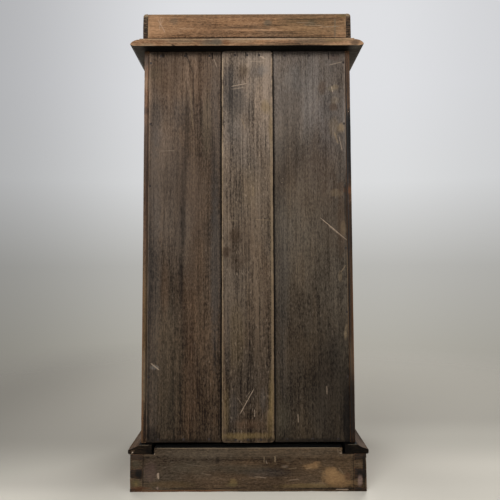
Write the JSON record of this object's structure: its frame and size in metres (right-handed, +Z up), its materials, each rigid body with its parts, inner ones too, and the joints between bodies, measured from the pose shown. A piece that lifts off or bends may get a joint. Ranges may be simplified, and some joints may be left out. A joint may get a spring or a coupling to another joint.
{
  "type": "pot cupboard",
  "caption": "Narrow wooden bedside cupboard with a low gallery round its moulded top, a drawer over a panelled door, and a moulded plinth.",
  "frame": {"origin": "on the floor under the middle of the cupboard's box", "axes": "+Z up, -Y towards the front with its door and drawer, +Y towards the plank back, +X to the right seen from the front"},
  "size_m": [0.397, 0.3704, 0.8],
  "materials": {
    "case_wood": "aged, waxed, worn at the edges",
    "back_wood": "raw, weathered grey-brown, with open grain",
    "inner_wood": "raw, dusty",
    "knob_wood": "turned and polished",
    "brass": "tarnished",
    "iron": "rusted"
  },
  "bodies": {
    "cupboard": {"top_board": "case_wood", "gallery_back": "case_wood", "gallery_side_left": "case_wood", "gallery_side_right": "case_wood", "side_panel_left": "case_wood", "side_panel_right": "case_wood", "plinth_front": "case_wood", "plinth_left": "case_wood", "plinth_right": "case_wood", "plinth_back": "case_wood", "plinth_moulding_front": "case_wood", "plinth_moulding_left": "case_wood", "plinth_moulding_right": "case_wood", "drawer_divider_rail": "case_wood", "bottom_board": "inner_wood", "top_rail_front": "inner_wood", "top_rail_back": "inner_wood", "drawer_kicker_left": "inner_wood", "drawer_kicker_right": "inner_wood", "drawer_runner_left": "inner_wood", "drawer_runner_right": "inner_wood", "drawer_stops": "inner_wood", "shelf": "inner_wood", "shelf_bearer_left": "inner_wood", "shelf_bearer_right": "inner_wood", "plinth_glue_blocks": "inner_wood", "door_stop_strip": "inner_wood", "back_board_left": "back_wood", "back_board_middle": "back_wood", "back_board_right": "back_wood", "back_nails": "iron", "top_screws": "iron", "hinge_leaf_case_upper": "brass", "hinge_leaf_case_lower": "brass", "hinge_pin_upper": "brass", "hinge_pin_lower": "brass", "hinge_screws_case": "brass", "latch_keeper": "brass"},
    "door": {"door_stile_hinge": "case_wood", "door_stile_latch": "case_wood", "door_rail_top": "case_wood", "door_rail_bottom": "case_wood", "door_panel": "case_wood", "door_panel_moulding": "case_wood", "hinge_leaf_door_upper": "brass", "hinge_leaf_door_lower": "brass", "hinge_screws_door": "brass"},
    "latch": {"latch_knob": "knob_wood", "latch_spindle": "brass", "latch_tongue": "brass"},
    "drawer": {"drawer_front": "case_wood", "drawer_side_left": "inner_wood", "drawer_side_right": "inner_wood", "drawer_back": "inner_wood", "drawer_bottom": "inner_wood", "drawer_knob": "knob_wood", "drawer_knob_screw": "iron"}
  },
  "joints": [
    {"name": "door_hinge", "type": "hinge", "parent": "cupboard", "child": "door", "pos_m": [-0.15925, -0.16115, 0.34875], "axis": [0, 0, -1], "range_deg": [0, 170]},
    {"name": "latch_turn", "type": "hinge", "parent": "door", "child": "latch", "pos_m": [0.1345, -0.14725, 0.34875], "axis": [0, -1, 0], "range_deg": [0, 90]},
    {"name": "drawer_slide", "type": "slide", "parent": "cupboard", "child": "drawer", "axis": [0, -1, 0], "range_m": [0, 0.23]}
  ]
}
